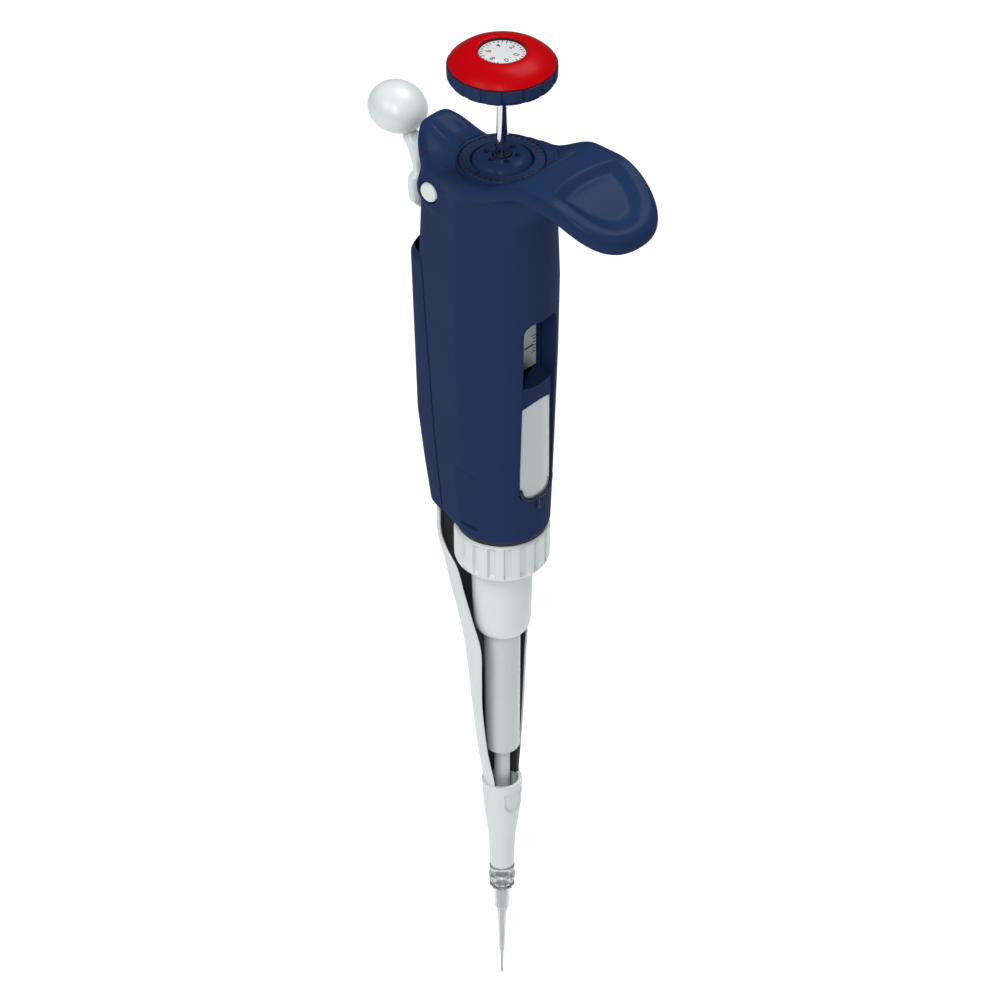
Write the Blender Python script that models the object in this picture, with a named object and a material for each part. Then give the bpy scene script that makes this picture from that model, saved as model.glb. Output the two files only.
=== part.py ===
"""Adjustable air-displacement micropipette, as the separate pieces it comes apart into.

Frame: +Z up along the plunger, +X towards the finger hook and the volume window, -X towards the tip
ejector, -Y the side with the release button. The origin is on the plunger's axis, level with the
hook's root, where a stand's cradle holds the pipette. Sizes are written in millimetres times MM.
"""
import math

import bmesh
import bpy
from mathutils import Matrix, Vector

MM = 0.001

# heights on the plunger's axis
KNOB_BOTTOM = 35.6 * MM
KNOB_SEAM = 39.8 * MM
DIAL_FACE = 14.0 * MM
LEDGE = 11.6 * MM
COVER_TOP = -17.5 * MM
WINDOW_TOP = -24.5 * MM
WINDOW_BAR_TOP = -42.7 * MM
WINDOW_BAR_BOTTOM = -48.0 * MM
WINDOW_BOTTOM = -75.0 * MM
HANDLE_BOTTOM = -86.7 * MM
NUT_TOP = -87.3 * MM
NUT_BOTTOM = -98.6 * MM
UPPER_SHAFT_BOTTOM = -119.0 * MM
LOWER_SHAFT_BOTTOM = -155.0 * MM
COLLAR_TOP = -164.8 * MM
COLLAR_BOTTOM = -191.4 * MM
TIP_TOP = -192.2 * MM
TIP_BOTTOM = -226.4 * MM

# radii
KNOB_RADIUS = 12.7 * MM
HANDLE_BORE = 9.2 * MM

# hook
HOOK_CENTRE = 26.0 * MM
HOOK_LENGTH = 16.9 * MM
HOOK_HALF_WIDTH = 13.2 * MM
HOOK_POWER = 2.4
HOOK_EDGE = 4.4 * MM
LIP = 0.7 * MM                    # how far the top's rim stands proud of the column

COLUMN = (                        # height, front radius, rear centre, rear radius of the handle
    (-86.7, 11.4, 13.0, 7.4),
    (-76.0, 11.8, 14.9, 7.5),
    (-63.0, 12.25, 16.9, 7.55),
    (-37.0, 13.05, 17.9, 7.6),
    (-17.7, 13.35, 18.7, 7.6),
    (-17.4, 13.35, 13.8, 9.1),   # above the rear cover the handle is shorter at the back
    (-4.0, 12.9, 13.8, 8.6),
    (20.0, 12.9, 13.8, 8.6),
)


def new_material(name, colour, roughness, metallic=0.0, alpha=1.0):
    material = bpy.data.materials.new(name)
    material.use_nodes = True
    shader = material.node_tree.nodes["Principled BSDF"]
    shader.inputs["Base Color"].default_value = (*colour, 1.0)
    shader.inputs["Roughness"].default_value = roughness
    shader.inputs["Metallic"].default_value = metallic
    shader.inputs["Alpha"].default_value = alpha
    return material


def finish_object(name, bm, material, parent=None, origin=(0.0, 0.0, 0.0)):
    """Makes the object, with its origin at the given place and under its parent empty."""
    bmesh.ops.recalc_face_normals(bm, faces=bm.faces)
    bmesh.ops.translate(bm, verts=bm.verts, vec=-Vector(origin))
    mesh = bpy.data.meshes.new(name)
    bm.to_mesh(mesh)
    bm.free()
    mesh.shade_smooth()
    mesh.set_sharp_from_angle(angle=math.radians(35))
    mesh.materials.append(material)
    made = bpy.data.objects.new(name, mesh)
    bpy.context.scene.collection.objects.link(made)
    made.location = origin
    if parent is not None:
        made.parent = parent
        made.location = Vector(origin) - parent.location
    return made


def axis_empty(name, place, parent=None):
    empty = bpy.data.objects.new(name, None)
    bpy.context.scene.collection.objects.link(empty)
    empty.location = place
    empty.parent = parent
    return empty


def turned(name, profile, material, segments=32, **placing):
    """A lathe-turned piece. The profile is (radius, height) in millimetres, closed on itself."""
    bm = bmesh.new()
    corners = [bm.verts.new((radius * MM, 0, height * MM)) for radius, height in profile]
    edges = [bm.edges.new((a, b)) for a, b in zip(corners, corners[1:] + corners[:1])
             if a.co.x > 0 or b.co.x > 0]
    bmesh.ops.spin(bm, geom=corners + edges, axis=(0, 0, 1), cent=(0, 0, 0), dvec=(0, 0, 0),
                   angle=math.tau, steps=segments, use_merge=True)
    bmesh.ops.remove_doubles(bm, verts=bm.verts, dist=1e-6)
    return finish_object(name, bm, material, **placing)


def ring_piece(name, outer, inner, bottom, top, material, segments=32, **placing):
    """A plain washer or sleeve, in millimetres."""
    profile = [(inner, top), (outer, top), (outer, bottom), (inner, bottom)]
    return turned(name, profile, material, segments, **placing)


def skinned(bm, rings, closed_round=False):
    """Faces between rings of equal length. The ends are capped unless the last meets the first."""
    loops = [[bm.verts.new(point) for point in ring] for ring in rings]
    count = len(loops[0])
    pairs = list(zip(loops, loops[1:] + loops[:1] if closed_round else loops[1:]))
    for low, high in pairs:
        for i in range(count):
            j = (i + 1) % count
            bm.faces.new((low[i], low[j], high[j], high[i]))
    if not closed_round:
        bm.faces.new(loops[0])
        bm.faces.new(loops[-1])


def block(low, high):
    """A bmesh box between two corners, in millimetres."""
    bm = bmesh.new()
    bmesh.ops.create_cube(bm, size=1.0)
    low, high = Vector(low) * MM, Vector(high) * MM
    bmesh.ops.scale(bm, vec=high - low, verts=bm.verts)
    bmesh.ops.translate(bm, vec=(low + high) / 2, verts=bm.verts)
    return bm


def rounded_block(low, high, axis, radius, segments=3):
    """A box whose edges along one axis (0, 1 or 2) are rounded."""
    bm = block(low, high)
    along = [e for e in bm.edges
             if abs((e.verts[0].co - e.verts[1].co).normalized()[axis]) > 0.9]
    bmesh.ops.bevel(bm, geom=along, offset=radius * MM, segments=segments, profile=0.5,
                    affect="EDGES", material=-1)
    return bm


def cutter(name, bm):
    """A shape that only cuts or joins another one: it isn't a piece itself."""
    made = finish_object(name, bm, cutter_material)
    made.hide_render = True
    made.display_type = "WIRE"
    return made


def cut(target, tool, operation="DIFFERENCE"):
    modifier = target.modifiers.new("cut " + tool.name, "BOOLEAN")
    modifier.operation = operation
    modifier.object = tool


def ease(start, end, value):
    """0 before start, 1 after end, and a smooth step between."""
    t = min(1.0, max(0.0, (value - start) / (end - start)))
    return t * t * (3 - 2 * t)


for old in list(bpy.data.objects):
    bpy.data.objects.remove(old)

navy = new_material("navy_plastic", (0.016, 0.03, 0.1), 0.42)
dark_navy = new_material("dark_navy_plastic", (0.008, 0.014, 0.045), 0.4)
red = new_material("red_plastic", (0.62, 0.0, 0.008), 0.35)
white = new_material("white_plastic", (0.8, 0.81, 0.81), 0.4)
grey_white = new_material("grey_white_plastic", (0.6, 0.62, 0.62), 0.4)
steel = new_material("polished_steel", (0.6, 0.61, 0.62), 0.12, 1.0)
spring_steel = new_material("spring_steel", (0.45, 0.45, 0.46), 0.3, 1.0)
brass = new_material("brass", (0.6, 0.45, 0.18), 0.3, 1.0)
aluminium = new_material("aluminium", (0.65, 0.66, 0.67), 0.3, 1.0)
seal_rubber = new_material("seal_rubber", (0.02, 0.02, 0.02), 0.7)
clear = new_material("clear_plastic", (0.85, 0.9, 0.9), 0.05, 0.0, 0.35)
cutter_material = new_material("cutter", (1.0, 0.5, 0.0), 0.5)

# ---- handle shell ---------------------------------------------------------------------------

HANDLE_SEGMENTS = 64
HOOK_CROWDING = 0.45              # how much closer the outline's points lie at the hook's tip


def column_at(height):
    """Front radius, rear centre and rear radius of the handle at a height, in metres."""
    h = height / MM
    rows = COLUMN
    if h <= rows[0][0]:
        return [v * MM for v in rows[0][1:]]
    for low, high in zip(rows, rows[1:]):
        if h <= high[0]:
            t = (h - low[0]) / (high[0] - low[0])
            return [(a + (b - a) * t) * MM for a, b in zip(low[1:], high[1:])]
    return [v * MM for v in rows[-1][1:]]


def column_radius(angle, height, inset=0.0):
    """Polar radius of the handle's section: a front circle and a smaller rear one in one skin."""
    front, centre, rear = column_at(height)
    front, rear = front - inset, rear - inset
    lean = math.asin((front - rear) / centre)
    turn = abs(math.atan2(math.sin(angle), math.cos(angle)))
    if turn <= math.pi / 2 + lean:
        return front
    behind = math.pi - turn
    touch = math.atan2(rear * math.cos(lean), centre + rear * math.sin(lean))
    if behind > touch:
        return front / math.cos(turn - math.pi / 2 - lean)
    return centre * math.cos(behind) + math.sqrt(rear ** 2 - (centre * math.sin(behind)) ** 2)


def rim_radius(angle):
    """Polar radius of the top outline: the column, with the hook's blunt paddle in front."""
    column = column_radius(angle, DIAL_FACE) + LIP
    if math.cos(angle) <= 0:
        return column
    side = abs(math.sin(angle))
    straight = HOOK_HALF_WIDTH / max(side, 1e-6)
    if straight * math.cos(angle) <= HOOK_CENTRE:
        return max(column, straight)
    near, far = 0.0, HOOK_CENTRE + HOOK_LENGTH
    for _ in range(40):
        middle = (near + far) / 2
        x = max(0.0, middle * math.cos(angle) - HOOK_CENTRE) / HOOK_LENGTH
        y = middle * side / HOOK_HALF_WIDTH
        near, far = (middle, far) if x ** HOOK_POWER + y ** HOOK_POWER < 1 else (near, middle)
    return near


def top_height(x, y):
    """The saddle: a hump where the hook starts, a droop to its tip, and a lobe at the rear."""
    x, y = x / MM, abs(y) / MM
    hump = 6.0 * ease(8 - 5 * ease(6, 13, y), 18, x) - 8.0 * ease(24, 47, x)
    lobe = 3.0 * ease(7, 19, -x) - 0.5 * ease(18, 24, -x)
    sides = -(1.0 + 4.6 * ease(2, 16, -x)) * ease(3, 10, y) * ease(-6, 2, -x)
    return DIAL_FACE + (hump + lobe + sides) * MM


def handle_angles():
    for i in range(HANDLE_SEGMENTS):
        even = math.tau * i / HANDLE_SEGMENTS
        yield even - HOOK_CROWDING * math.sin(even)


def ring_at(radius_of, height_of):
    """One ring of the handle's skin. Height is a function of the angle and the radius there."""
    ring = []
    for angle in handle_angles():
        radius = radius_of(angle)
        height = height_of(angle, radius)
        ring.append(Vector((radius * math.cos(angle), radius * math.sin(angle), height)))
    return ring


def on_top(angle, radius):
    return top_height(radius * math.cos(angle), radius * math.sin(angle))


HOOK_ROOT = -4.0 * MM             # where the column starts to flare into the hook
FLARE = 9.0 * MM


def flare_ring(share):
    """A ring under the hook: share 0 is on the column and 1 at the underside's outer edge."""
    def radius(angle):
        inner = column_radius(angle, HOOK_ROOT)
        return inner + (rim_radius(angle) - 1.0 * MM - inner) * share

    def height(angle, at):
        inner = column_radius(angle, HOOK_ROOT)
        reach = rim_radius(angle) - inner
        hang = min(1.0, reach / FLARE) * FLARE
        rim = rim_radius(angle)
        floor = top_height(rim * math.cos(angle), rim * math.sin(angle)) - HOOK_EDGE
        under = on_top(angle, at) - HOOK_EDGE
        swept = min(1.0, max(0.0, at - inner) / FLARE)
        wide = ease(1 * MM, 6 * MM, reach)
        base = floor + (under - floor) * wide
        return base - hang * (1 - swept) ** 2
    return ring_at(radius, height)


def make_handle():
    levels = [-85.9, -76.0, -63.0, -50.0, -37.0, -27.0, -17.7, -17.4, -10.0]
    rings = [
        ring_at(lambda a: HANDLE_BORE, lambda a, r: LEDGE),
        ring_at(lambda a: HANDLE_BORE, lambda a, r: HANDLE_BOTTOM),
        ring_at(lambda a: column_radius(a, HANDLE_BOTTOM, 0.8 * MM), lambda a, r: HANDLE_BOTTOM),
    ]
    for level in levels:
        rings.append(ring_at(lambda a: column_radius(a, level * MM), lambda a, r: level * MM))
    rings.append(ring_at(lambda a: column_radius(a, HOOK_ROOT), lambda a, r: HOOK_ROOT))
    rings += [flare_ring(share) for share in (0.0, 0.18, 0.4, 0.7, 1.0)]
    rings.append(ring_at(rim_radius, lambda a, r: on_top(a, r) - 0.5 * HOOK_EDGE))
    for inward, drop in ((0.5, 0.35), (1.6, 0.0)):
        rings.append(ring_at(lambda a: rim_radius(a) - inward * MM,
                             lambda a, r: on_top(a, r) - drop * MM))
    for share in (0.66, 0.33):
        rings.append(ring_at(lambda a: 11.0 * MM + (rim_radius(a) - 12.6 * MM) * share, on_top))
    rings.append(ring_at(lambda a: 10.4 * MM, lambda a, r: DIAL_FACE))
    rings.append(ring_at(lambda a: 10.2 * MM, lambda a, r: LEDGE))
    bm = bmesh.new()
    skinned(bm, rings, closed_round=True)
    return finish_object("handle_shell", bm, navy)


SEAM_TOP = -17.6                  # the cover's front edge leans, so it is further forward below
SEAM_BOTTOM = -11.2


def seam_x(height):
    """Where the rear cover meets the shell at a height in millimetres."""
    t = (COVER_TOP / MM - height) / ((COVER_TOP - HANDLE_BOTTOM) / MM)
    return SEAM_TOP + (SEAM_BOTTOM - SEAM_TOP) * t


def wedge(low_z, high_z, shift, depth, half_width):
    """A block whose front face follows the leaning seam, in millimetres."""
    bm = block((-depth, -half_width, low_z), (0, half_width, high_z))
    for vert in bm.verts:
        if vert.co.x > -depth * MM / 2:
            vert.co.x = (seam_x(vert.co.z / MM) + shift) * MM
    return bm


handle = make_handle()
cut(handle, cutter("cover_bay", wedge(-95, COVER_TOP / MM + 0.2, 0.0, 40, 20)))
cut(handle, cutter("rod_channel", block((-30, -2.8, -20), (-21.7, 2.8, 30))))
WINDOW_HALF_WIDTH = 5.5
cut(handle, cutter("window_cut", rounded_block(
    (5, -WINDOW_HALF_WIDTH, WINDOW_BOTTOM / MM), (20, WINDOW_HALF_WIDTH, WINDOW_TOP / MM), 0, 2.6)))
BUTTON_X = -13.5
BUTTON_Z = 3.5
BUTTON_RADIUS = 2.5
BUTTON_FACE = -10.6               # how far out the release button's face stands


def across_disc(radius, y_low, y_high, x, z, segments=24):
    """A disc or rod lying along Y, in millimetres."""
    bm = bmesh.new()
    bmesh.ops.create_cone(bm, cap_ends=True, segments=segments, radius1=radius * MM,
                          radius2=radius * MM, depth=(y_high - y_low) * MM)
    bmesh.ops.rotate(bm, verts=bm.verts, cent=(0, 0, 0), matrix=Matrix.Rotation(math.pi / 2, 3, "X"))
    bmesh.ops.translate(bm, verts=bm.verts, vec=Vector((x, (y_low + y_high) / 2, z)) * MM)
    return bm


cut(handle, cutter("button_boss", across_disc(3.9, -10.2, -7.0, BUTTON_X, BUTTON_Z)), "UNION")
cut(handle, cutter("spring_lug", block((-20.3, -1.5, -34.5), (-14.5, 1.5, -33.3))), "UNION")
cut(handle, cutter("button_hole", across_disc(
    BUTTON_RADIUS + 0.35, -20, -6.6, BUTTON_X, BUTTON_Z)))
PANEL = ((-9.0, -68.0), (3.0, -84.0))   # the flat label panel low on the side: x and z corners
PANEL_Y = -11.0
(left, top), (right, bottom) = PANEL
panel_cut = block((left, -20, bottom), (right, PANEL_Y, top))
cut(handle, cutter("panel_cut", panel_cut))

# ---- rear cover -------------------------------------------------------------------------------

COVER_WALL = 1.1 * MM
COVER_LEVELS = (-86.6, -76.0, -63.0, -50.0, -37.0, -27.0, -17.8)


def make_cover():
    """The skin behind the seam: an outer and an inner half shell, joined along their edges."""
    def half_ring(height, inset):
        steps = 16
        points = []
        for i in range(steps + 1):
            side = -1 + 2 * i / steps
            front = (seam_x(height) - 0.35) * MM
            near, far = math.pi / 2, math.pi
            for _ in range(30):      # the angle at which this skin reaches the seam
                edge = (near + far) / 2
                x = column_radius(edge, height * MM, inset) * math.cos(edge)
                near, far = (edge, far) if x > front else (near, edge)
            angle = math.pi + side * (math.pi - edge)
            radius = column_radius(angle, height * MM, inset)
            points.append(Vector((radius * math.cos(angle), radius * math.sin(angle), height * MM)))
        return points
    bm = bmesh.new()
    rings = [half_ring(h, 0.0) + half_ring(h, COVER_WALL)[::-1] for h in COVER_LEVELS]
    skinned(bm, rings)
    return finish_object("rear_cover", bm, navy)


make_cover()

# ---- window and counter ----------------------------------------------------------------------

POCKET_BACK = 3.9                 # the upper part of the window is a deep pocket with a scale plate


def arc_block(inner, outer, half_width, bottom, top, steps=8):
    """A block between two radii, with upright sides at +-half_width, in millimetres."""
    def edge(radius, order):
        reach = math.asin(half_width / radius)
        return [(radius * math.cos(reach * (2 * i / steps - 1)),
                 radius * math.sin(reach * (2 * i / steps - 1))) for i in order]
    outline = edge(outer, range(steps + 1)) + edge(inner, range(steps, -1, -1))
    bm = bmesh.new()
    skinned(bm, [[Vector((x, y, z)) * MM for x, y in outline] for z in (bottom, top)])
    return bm


pocket = finish_object("scale_pocket", block((POCKET_BACK, -6.0, WINDOW_BAR_TOP / MM + 0.3),
                                             (6.8, 6.0, WINDOW_TOP / MM + 0.7)), dark_navy)
cut(pocket, cutter("pocket_cut", block((POCKET_BACK + 0.9, -5.4, WINDOW_BAR_TOP / MM - 3),
                                       (14, 5.4, WINDOW_TOP / MM))))
finish_object("scale_plate", rounded_block((POCKET_BACK + 1.2, -5.1, WINDOW_BAR_TOP / MM + 0.6),
                                           (POCKET_BACK + 1.8, 5.1, WINDOW_TOP / MM - 0.4), 0, 0.6),
              white)
finish_object("index_bar", arc_block(9.5, 11.9, 5.15, WINDOW_BAR_BOTTOM / MM + 0.3,
                                     WINDOW_BAR_TOP / MM), dark_navy)
lens = finish_object("window_lens", arc_block(9.9, 11.5, 5.1, WINDOW_BOTTOM / MM + 0.4,
                                              WINDOW_BAR_BOTTOM / MM), clear)
cut(lens, cutter("lens_outline", rounded_block(
    (5, -5.2, WINDOW_BOTTOM / MM + 0.4), (20, 5.2, WINDOW_BAR_BOTTOM / MM + 9), 0, 2.5)), "INTERSECT")

knob_axis = axis_empty("knob_axis", (0, 0, KNOB_BOTTOM))
nut_axis = axis_empty("nut_axis", (0, 0, NUT_TOP))
dial_axis = axis_empty("dial_axis", (0, 0, LEDGE))
counter_axis = axis_empty("counter_axis", (0, 0, WINDOW_BOTTOM))
plunger_axis = axis_empty("plunger_axis", (0, 0, HANDLE_BOTTOM))
ejector_axis = axis_empty("ejector_axis", (-23.4 * MM, 0, 0))
tip_axis = axis_empty("tip_axis", (0, 0, TIP_TOP))
button_axis = axis_empty("button_axis", (BUTTON_X * MM, BUTTON_FACE * MM, BUTTON_Z * MM))

DRUM_RADIUS = 8.5
DRUM_HEIGHT = 7.6
DRUM_PITCH = 8.1
for number, name in enumerate(("high", "middle", "low")):
    top = -49.9 - DRUM_PITCH * number
    ring_piece("counter_drum_" + name, DRUM_RADIUS, 2.4, top - DRUM_HEIGHT, top, white, 30,
               parent=counter_axis, origin=(0, 0, top * MM))
ring_piece("counter_top", 8.7, 3.1, -49.5, -48.0, aluminium)
ring_piece("counter_base", 8.7, 2.2, -76.0, -74.4, aluminium)

# ---- top of the handle ------------------------------------------------------------------------

ring_piece("chassis_plate", 8.7, 1.75, 8.6, 11.3, aluminium)
turned("rod_bush", [(1.6, 15.7), (1.95, 15.7), (2.05, 15.3), (2.05, 11.6), (1.6, 11.6)], brass, 24)
plate = turned("dial_plate", [(2.25, 15.3), (4.4, 15.3), (5.6, 14.9), (6.6, 14.2), (7.0, 13.4),
                              (7.0, 11.6), (2.25, 11.6)], dark_navy, 36)
KEY_HOLES = 6
for i in range(KEY_HOLES):
    angle = math.tau * (i + 0.5) / KEY_HOLES
    bm = bmesh.new()
    bmesh.ops.create_cone(bm, cap_ends=True, segments=8, radius1=0.55 * MM, radius2=0.55 * MM,
                          depth=4 * MM)
    bmesh.ops.translate(bm, verts=bm.verts, vec=(
        3.3 * MM * math.cos(angle), 3.3 * MM * math.sin(angle), 16 * MM))
    cut(plate, cutter(f"key_hole_{i}", bm))
turned("calibration_dial", [(7.35, 13.9), (9.4, 13.9), (9.85, 13.5), (9.85, 11.9), (7.35, 11.9)],
       dark_navy, 36, parent=dial_axis)

# ---- knob, rod and volume screw --------------------------------------------------------------

KNOB_FLUTES = 16


def make_knob_ring():
    """A shallow cup with finger flutes round its rim and a central hole for the rod's tenon."""
    ring = turned("knob_ring", [(1.7, 37.2), (11.3, 37.2), (11.3, 39.5), (12.7, 39.5), (12.7, 36.4),
                                (12.0, KNOB_BOTTOM / MM), (1.7, KNOB_BOTTOM / MM)], navy, 64,
                  parent=knob_axis)
    for number in range(KNOB_FLUTES):
        angle = math.tau * number / KNOB_FLUTES
        bm = bmesh.new()
        bmesh.ops.create_cone(bm, cap_ends=True, segments=8, radius1=0.75 * MM,
                              radius2=0.75 * MM, depth=9 * MM)
        reach = KNOB_RADIUS + 0.35 * MM
        bmesh.ops.translate(bm, verts=bm.verts, vec=(
            reach * math.cos(angle), reach * math.sin(angle), KNOB_SEAM - 2 * MM))
        cut(ring, cutter(f"knob_flute_{number}", bm))
    return ring


make_knob_ring()
turned("knob_cap", [(5.7, 43.0), (6.6, 43.1), (8.5, 42.6), (10.6, 41.5), (11.9, 40.5), (12.3, 39.8),
                    (11.0, 39.8), (11.0, 37.5), (10.0, 37.5), (10.0, 40.2), (7.0, 41.3),
                    (5.7, 41.3)], red, 36, parent=knob_axis)
turned("knob_disc", [(0, 42.2), (5.4, 42.2), (5.4, 41.6), (1.7, 41.6), (1.7, 40.6), (0, 40.6)], white,
       48, parent=knob_axis)
turned("plunger_rod", [(0, 40.3), (1.35, 40.3), (1.35, 35.0), (1.3, 20.0), (1.45, 15.0),
                       (1.3, 8.0), (1.3, -77.0), (0, -77.0)], steel, 24, parent=knob_axis)
ring_piece("volume_screw", 2.15, 1.6, -34.0, -20.0, brass, 24, parent=knob_axis)

# ---- plunger, which moves without turning ----------------------------------------------------

ring_piece("volume_stop_nut", 3.5, 2.45, -29.0, -25.0, brass, 24, parent=plunger_axis)
turned("thrust_button", [(0, -77.3), (4.0, -77.3), (4.0, -79.6), (0, -79.6)], steel, 24,
       parent=plunger_axis)
turned("piston_head", [(0, -79.9), (4.9, -79.9), (4.9, -82.6), (1.6, -82.6), (1.6, -84.2),
                       (0, -84.2)], white, 24, parent=plunger_axis)
turned("piston", [(0, -84.5), (0.9, -84.5), (0.9, -181.5), (0.7, -182.0), (0, -182.0)], steel, 16,
       parent=plunger_axis)
ring_piece("blowout_washer", 6.4, 2.5, -43.8, -43.0, steel, 24, parent=plunger_axis)


def coil(name, radius, wire, bottom, top, turns, material, sides=6, per_turn=12, centre=0.0):
    """A compression spring as a tube along a helix, with flat-cut ends, in millimetres."""
    bm = bmesh.new()
    steps = int(turns * per_turn)
    rings = []
    for i in range(steps + 1):
        share = i / steps
        turn = math.tau * turns * share
        height = bottom + wire + (top - bottom - 2 * wire) * share
        out = Vector((math.cos(turn), math.sin(turn), 0))
        middle = Vector((centre, 0, height)) + out * radius
        ring = []
        for k in range(sides):
            spin = math.tau * k / sides
            ring.append((middle + out * wire * math.cos(spin)
                         + Vector((0, 0, wire * math.sin(spin)))) * MM)
        rings.append(ring)
    skinned(bm, rings)
    return finish_object(name, bm, material)


coil("blowout_spring", 4.2, 0.35, -47.7, -44.1, 2.5, spring_steel)
coil("primary_spring", 3.6, 0.35, -115.0, -82.9, 9, spring_steel, sides=4, per_turn=8)

# ---- liquid end: nut, shaft, seals and nose --------------------------------------------------

NUT_RIBS = 18
turned("threaded_sleeve", [(7.95, -77.0), (8.85, -77.0), (8.85, -91.5), (7.95, -91.5)], aluminium, 30)


def make_nut():
    nut = turned("coupling_nut", [(9.2, NUT_TOP / MM), (10.7, NUT_TOP / MM), (11.4, -88.0),
                                  (11.4, -96.9), (11.1, -97.8), (9.9, NUT_BOTTOM / MM),
                                  (7.5, NUT_BOTTOM / MM), (7.5, -96.2), (9.2, -95.8)], white, 54,
                 parent=nut_axis)
    for number in range(NUT_RIBS):
        angle = math.tau * number / NUT_RIBS
        bm = block((10.75, -0.75, -97.2), (13, 0.75, -80.0))
        bmesh.ops.rotate(bm, verts=bm.verts, cent=(0, 0, 0), matrix=Matrix.Rotation(angle, 3, "Z"))
        cut(nut, cutter(f"nut_groove_{number}", bm))
    return nut


make_nut()
turned("shaft_upper", [(5.6, -81.0), (7.5, -81.0), (7.5, -92.4), (8.7, -92.4), (8.7, -95.4),
                       (7.15, -95.4), (7.15, -100.0), (6.9, -117.0), (6.3, -118.6),
                       (5.4, UPPER_SHAFT_BOTTOM / MM), (4.0, UPPER_SHAFT_BOTTOM / MM),
                       (4.0, -116.9), (5.6, -116.9)], white, 30)
ring_piece("spring_seat", 5.2, 1.3, -116.6, -115.4, steel, 24)
turned("shaft_lower", [(3.0, -117.0), (3.7, -117.0), (3.7, -119.3), (4.45, -119.3), (4.4, -121.0),
                       (4.25, -154.6), (3.9, LOWER_SHAFT_BOTTOM / MM),
                       (2.3, LOWER_SHAFT_BOTTOM / MM), (2.3, -152.0),
                       (3.0, -152.0)], grey_white, 24)
ring_piece("seal_retainer", 2.7, 1.3, -121.0, -117.3, steel, 24)
turned("o_ring", [(1.1, -121.9), (1.8, -121.3), (2.6, -121.9), (2.6, -122.7), (1.8, -123.3),
                  (1.1, -122.7)], seal_rubber, 24)
ring_piece("piston_seal", 2.6, 1.05, -126.4, -123.6, white, 24)
ring_piece("seal_seat", 2.7, 1.3, -131.0, -126.7, white, 24)
turned("nose_cone", [(1.2, -149.0), (1.9, -149.0), (1.95, -186.0), (1.65, -197.4), (1.2, -197.4)],
       grey_white, 24)

# ---- tip --------------------------------------------------------------------------------------

turned("pipette_tip", [(2.3, TIP_TOP / MM), (3.1, TIP_TOP / MM), (3.1, -193.4), (2.8, -193.8),
                       (3.2, -194.3), (3.2, -196.2), (2.75, -196.6), (2.75, -198.2),
                       (1.98, -198.8), (1.9, -204.6), (1.2, -205.8), (0.68, -219.0),
                       (0.42, -219.6), (0.3, TIP_BOTTOM / MM), (0.14, TIP_BOTTOM / MM),
                       (0.3, -219.3), (0.75, -206.4), (1.4, -204.6), (1.5, -198.4),
                       (2.0, -197.9)], clear, 20, parent=tip_axis)


# ---- tip ejector ------------------------------------------------------------------------------


def path_block(name, stations, material, **placing):
    """A bar lofted through stations (x, z, half depth, half width), across Y, in millimetres."""
    bm = bmesh.new()
    rings = []
    for index, (x, z, depth, width) in enumerate(stations):
        ahead = stations[min(index + 1, len(stations) - 1)]
        behind = stations[max(index - 1, 0)]
        along = Vector((ahead[0] - behind[0], 0, ahead[1] - behind[1])).normalized()
        out = Vector((along.z, 0, -along.x))
        corner = min(depth, width) * 0.4
        outline = [(depth, width - corner), (depth - corner, width), (corner - depth, width),
                   (-depth, width - corner), (-depth, corner - width), (corner - depth, -width),
                   (depth - corner, -width), (depth, corner - width)]
        rings.append([(Vector((x, y, z)) + out * d) * MM for d, y in outline])
    skinned(bm, rings)
    return finish_object(name, bm, material, **placing)


def make_ejector_button():
    bm = bmesh.new()
    bmesh.ops.create_uvsphere(bm, u_segments=24, v_segments=14, radius=1.0)
    bmesh.ops.scale(bm, vec=Vector((7.2, 6.9, 5.6)) * MM, verts=bm.verts)
    bmesh.ops.rotate(bm, verts=bm.verts, cent=(0, 0, 0), matrix=Matrix.Rotation(0.25, 3, "Y"))
    bmesh.ops.translate(bm, verts=bm.verts, vec=Vector((-32.9, 0, 13.6)) * MM)
    return finish_object("ejector_button", bm, white, parent=ejector_axis)


make_ejector_button()
path_block("ejector_slider", [(-28.6, 7.8, 2.2, 2.2), (-27.0, 5.6, 1.9, 2.2), (-25.7, 3.4, 1.3, 2.5),
                              (-25.4, 1.4, 1.1, 3.2), (-25.3, -1.0, 1.2, 3.5),
                              (-25.3, -6.4, 1.1, 3.5), (-24.9, -9.2, 0.9, 2.8)], white,
           parent=ejector_axis)
ROD_STATIONS = ((-23.25, -9.6), (-23.25, -22.0), (-18.0, -63.4))
rod = path_block("ejector_rod", [(x, z, 0.6, 2.2) for x, z in ROD_STATIONS], white,
                 parent=ejector_axis)
cut(rod, cutter("rod_tab", block((-23.2, -1.4, -20.6), (-18.2, 1.4, -19.6))), "UNION")
coil("ejector_spring", 0.85, 0.2, -33.0, -20.9, 7, spring_steel, sides=4, per_turn=8, centre=-19.0)

ARM_WALL = 1.0
ARM = (                           # height, centre x, outer radius, half angle of the open channel
    (-63.8, -11.2, 7.3, 26), (-90.0, -11.2, 7.3, 30), (-95.0, -10.6, 7.8, 40), (-101.0, -7.9, 8.0, 58),
    (-107.5, -5.3, 8.2, 75), (-114.0, -3.5, 8.2, 92), (-120.0, -2.2, 7.8, 105),
    (-127.0, -1.6, 7.2, 115), (-136.0, -1.2, 6.8, 114), (-145.0, -0.9, 6.4, 112),
    (-156.0, -0.5, 5.7, 112), (-164.4, 0.0, 5.0, 110),
)


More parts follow.
